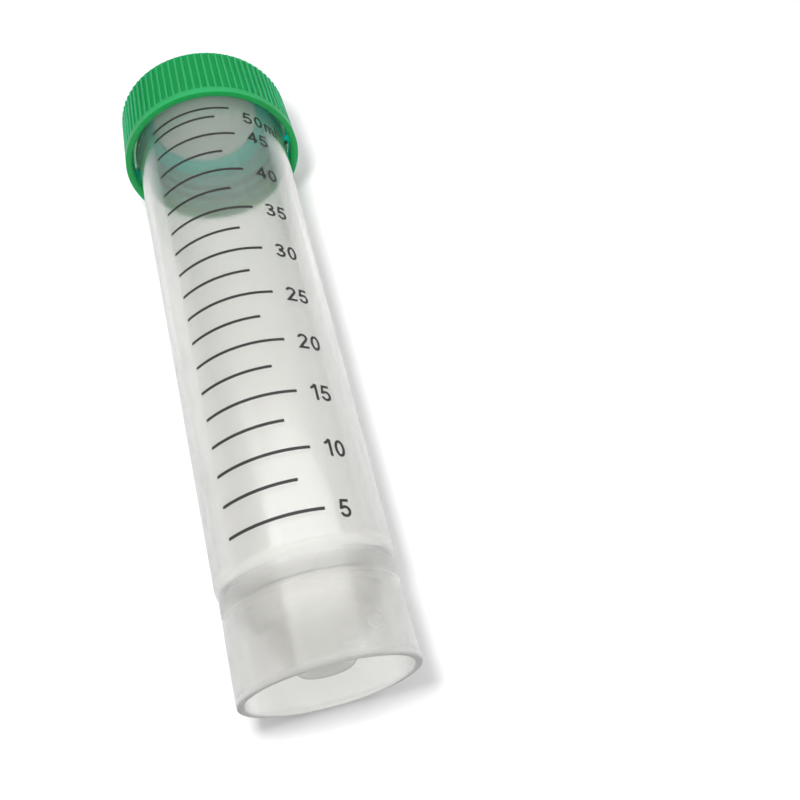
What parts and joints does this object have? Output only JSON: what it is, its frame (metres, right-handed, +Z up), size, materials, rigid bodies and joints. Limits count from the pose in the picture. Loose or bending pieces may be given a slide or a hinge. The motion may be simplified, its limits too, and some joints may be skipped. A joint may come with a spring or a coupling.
{
  "type": "conical centrifuge tube",
  "caption": "Self-standing 50 ml conical tube: translucent moulded tube with an open skirt round its cone, a threaded neck, and a ribbed green screw cap with a pale disc inside.",
  "frame": {"origin": "centre of the skirt's rim plane, on the tube's axis", "axes": "+Z up the tube's axis to the cap; the printed scale faces -Y"},
  "size_m": [0.0338, 0.0338, 0.1173],
  "materials": {
    "clear_plastic": "translucent plastic, smooth; taken to be natural polypropylene",
    "green_plastic": "green plastic, satin; taken to be polyethylene",
    "pale_disc": "pale, matt",
    "ink": "printed scale, dark grey ink"
  },
  "bodies": {
    "tube": {"tube": "clear_plastic"},
    "seal_disc": {"seal_disc": "pale_disc"},
    "screw_cap": {"screw_cap": "green_plastic"}
  },
  "joints": [
    {"name": "cap_lift", "type": "slide", "parent": "tube", "child": "seal_disc", "axis": [0, 0, 1], "range_m": [0, 0.01202]},
    {"name": "cap_turn", "type": "hinge", "parent": "seal_disc", "child": "screw_cap", "pos_m": [0, 0, 0.1111], "axis": [0, 0, 1], "range_deg": [0, 720]}
  ],
  "couplings": [
    {"joint": "cap_lift", "follows": "cap_turn", "m_per_rad": 0.00095493}
  ]
}
